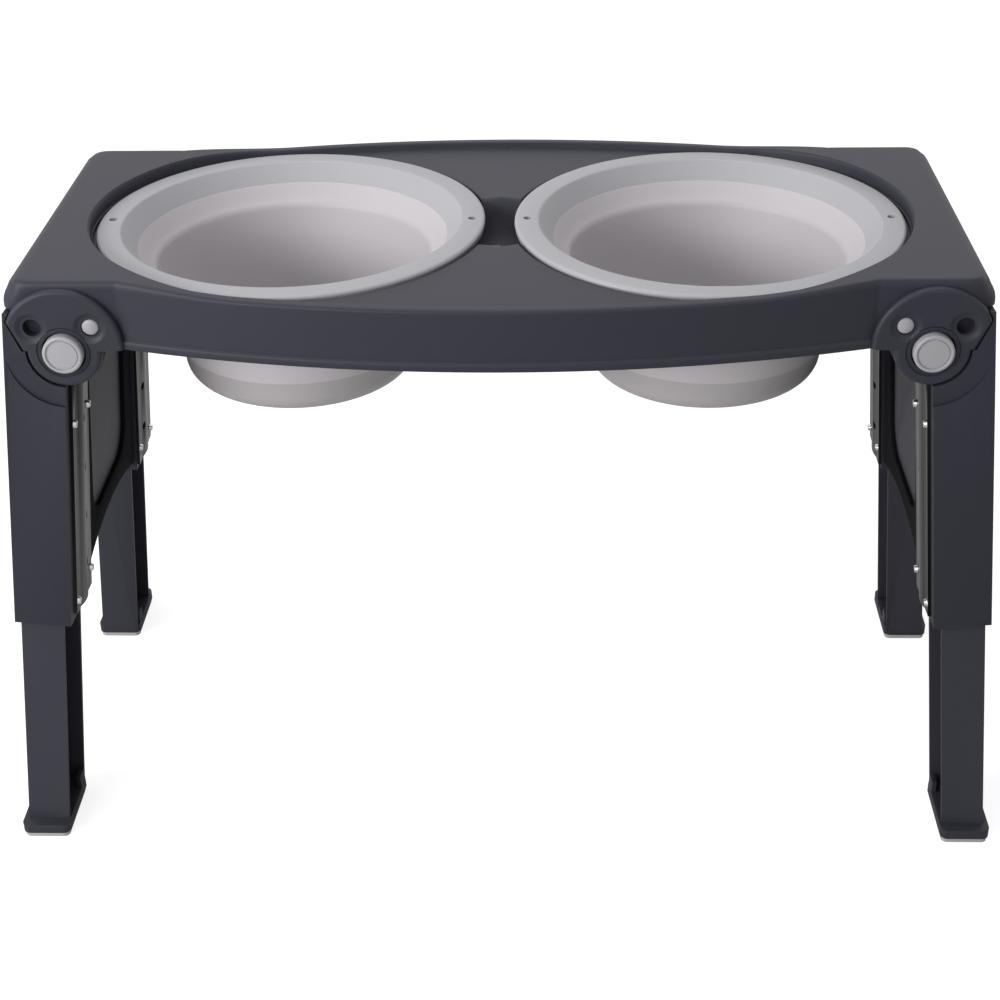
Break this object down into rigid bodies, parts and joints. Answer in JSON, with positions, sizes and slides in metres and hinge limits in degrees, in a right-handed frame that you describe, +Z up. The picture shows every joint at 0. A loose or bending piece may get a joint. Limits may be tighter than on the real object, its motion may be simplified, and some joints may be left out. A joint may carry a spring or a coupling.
{
  "type": "dog feeder stand",
  "caption": "Raised dog feeder: a tray with collapsible bowls on folding leg frames with push-button locks and telescoping, splayed legs.",
  "frame": {"origin": "on the floor, under the middle of the tray", "axes": "+X to the right along the tray's width, +Y to the back, +Z up"},
  "size_m": [0.668, 0.305, 0.4045],
  "materials": {
    "tray": "fine matte texture",
    "bowl_rim": "satin",
    "bowl_wall": "soft matte",
    "bowl_dish": "satin",
    "leg_shell": "fine matte texture",
    "leg_inner": "semi-gloss",
    "lower_leg": "fine matte texture",
    "screw": "zinc plated",
    "latch": "plain",
    "sole": "matte",
    "bush": "satin",
    "button": "satin",
    "spring": "plain"
  },
  "bodies": {
    "tray_body": {"tray": "tray"},
    "bowl_left": {"bowl_rim_left": "bowl_rim", "bowl_wall_left": "bowl_wall"},
    "dish_left": {"bowl_dish_left": "bowl_dish"},
    "leg_frame_left": {"leg_shell_left": "leg_shell", "leg_web_left": "leg_inner", "leg_cover_front_left": "leg_inner", "cover_screws_front_left": "screw", "pivot_bush_front_left": "bush", "lock_spring_front_left": "spring", "lock_cap_front_left": "leg_shell", "leg_cover_rear_left": "leg_inner", "cover_screws_rear_left": "screw", "pivot_bush_rear_left": "bush", "lock_spring_rear_left": "spring", "lock_cap_rear_left": "leg_shell"},
    "bowl_right": {"bowl_rim_right": "bowl_rim", "bowl_wall_right": "bowl_wall"},
    "dish_right": {"bowl_dish_right": "bowl_dish"},
    "leg_frame_right": {"leg_shell_right": "leg_shell", "leg_web_right": "leg_inner", "leg_cover_front_right": "leg_inner", "cover_screws_front_right": "screw", "pivot_bush_front_right": "bush", "lock_spring_front_right": "spring", "lock_cap_front_right": "leg_shell", "leg_cover_rear_right": "leg_inner", "cover_screws_rear_right": "screw", "pivot_bush_rear_right": "bush", "lock_spring_rear_right": "spring", "lock_cap_rear_right": "leg_shell"},
    "lower_front_left": {"lower_leg_front_left": "lower_leg", "leg_latch_front_left": "latch", "foot_sole_front_left": "sole"},
    "lock_front_left": {"lock_button_front_left": "button", "lock_slide_front_left": "button"},
    "lower_front_right": {"lower_leg_front_right": "lower_leg", "leg_latch_front_right": "latch", "foot_sole_front_right": "sole"},
    "lock_front_right": {"lock_button_front_right": "button", "lock_slide_front_right": "button"},
    "lower_rear_left": {"lower_leg_rear_left": "lower_leg", "leg_latch_rear_left": "latch", "foot_sole_rear_left": "sole"},
    "lock_rear_left": {"lock_button_rear_left": "button", "lock_slide_rear_left": "button"},
    "lower_rear_right": {"lower_leg_rear_right": "lower_leg", "leg_latch_rear_right": "latch", "foot_sole_rear_right": "sole"},
    "lock_rear_right": {"lock_button_rear_right": "button", "lock_slide_rear_right": "button"}
  },
  "joints": [
    {"name": "leg_fold_left", "type": "hinge", "parent": "tray_body", "child": "leg_frame_left", "pos_m": [-0.263, 0, 0.36], "axis": [0, -1, 0], "range_deg": [0, 95.5], "deforming": ["bowl_wall_left", "bowl_wall_right"]},
    {"name": "bowl_lift_left", "type": "slide", "parent": "tray_body", "child": "bowl_left", "axis": [0, 0, 1], "range_m": [0, 0.12]},
    {"name": "bowl_collapse_left", "type": "slide", "parent": "bowl_left", "child": "dish_left", "axis": [0, 0, 1], "range_m": [0, 0.066], "deforming": ["bowl_wall_left"]},
    {"name": "leg_fold_right", "type": "hinge", "parent": "tray_body", "child": "leg_frame_right", "pos_m": [0.263, 0, 0.36], "axis": [0, 1, 0], "range_deg": [0, 95.5], "deforming": ["bowl_wall_left", "bowl_wall_right"]},
    {"name": "bowl_lift_right", "type": "slide", "parent": "tray_body", "child": "bowl_right", "axis": [0, 0, 1], "range_m": [0, 0.12]},
    {"name": "bowl_collapse_right", "type": "slide", "parent": "bowl_right", "child": "dish_right", "axis": [0, 0, 1], "range_m": [0, 0.066], "deforming": ["bowl_wall_right"]},
    {"name": "leg_slide_front_left", "type": "slide", "parent": "leg_frame_left", "child": "lower_front_left", "axis": [0.0956, 0.0663, 0.9932], "range_m": [0, 0.105]},
    {"name": "lock_press_front_left", "type": "slide", "parent": "leg_frame_left", "child": "lock_front_left", "axis": [0, 1, 0], "range_m": [0, 0.0052], "stiffness_N_per_m": 1500, "deforming": ["lock_spring_front_left"]},
    {"name": "leg_slide_front_right", "type": "slide", "parent": "leg_frame_right", "child": "lower_front_right", "axis": [-0.0956, 0.0663, 0.9932], "range_m": [0, 0.105]},
    {"name": "lock_press_front_right", "type": "slide", "parent": "leg_frame_right", "child": "lock_front_right", "axis": [0, 1, 0], "range_m": [0, 0.0052], "stiffness_N_per_m": 1500, "deforming": ["lock_spring_front_right"]},
    {"name": "leg_slide_rear_left", "type": "slide", "parent": "leg_frame_left", "child": "lower_rear_left", "axis": [0.0956, -0.0663, 0.9932], "range_m": [0, 0.105]},
    {"name": "lock_press_rear_left", "type": "slide", "parent": "leg_frame_left", "child": "lock_rear_left", "axis": [0, -1, 0], "range_m": [0, 0.0052], "stiffness_N_per_m": 1500, "deforming": ["lock_spring_rear_left"]},
    {"name": "leg_slide_rear_right", "type": "slide", "parent": "leg_frame_right", "child": "lower_rear_right", "axis": [-0.0956, -0.0663, 0.9932], "range_m": [0, 0.105]},
    {"name": "lock_press_rear_right", "type": "slide", "parent": "leg_frame_right", "child": "lock_rear_right", "axis": [0, -1, 0], "range_m": [0, 0.0052], "stiffness_N_per_m": 1500, "deforming": ["lock_spring_rear_right"]}
  ],
  "couplings": [
    {"joint": "bowl_collapse_left", "follows": "leg_fold_left", "m_per_rad": 0.0395},
    {"joint": "bowl_collapse_right", "follows": "leg_fold_right", "m_per_rad": 0.0395}
  ]
}
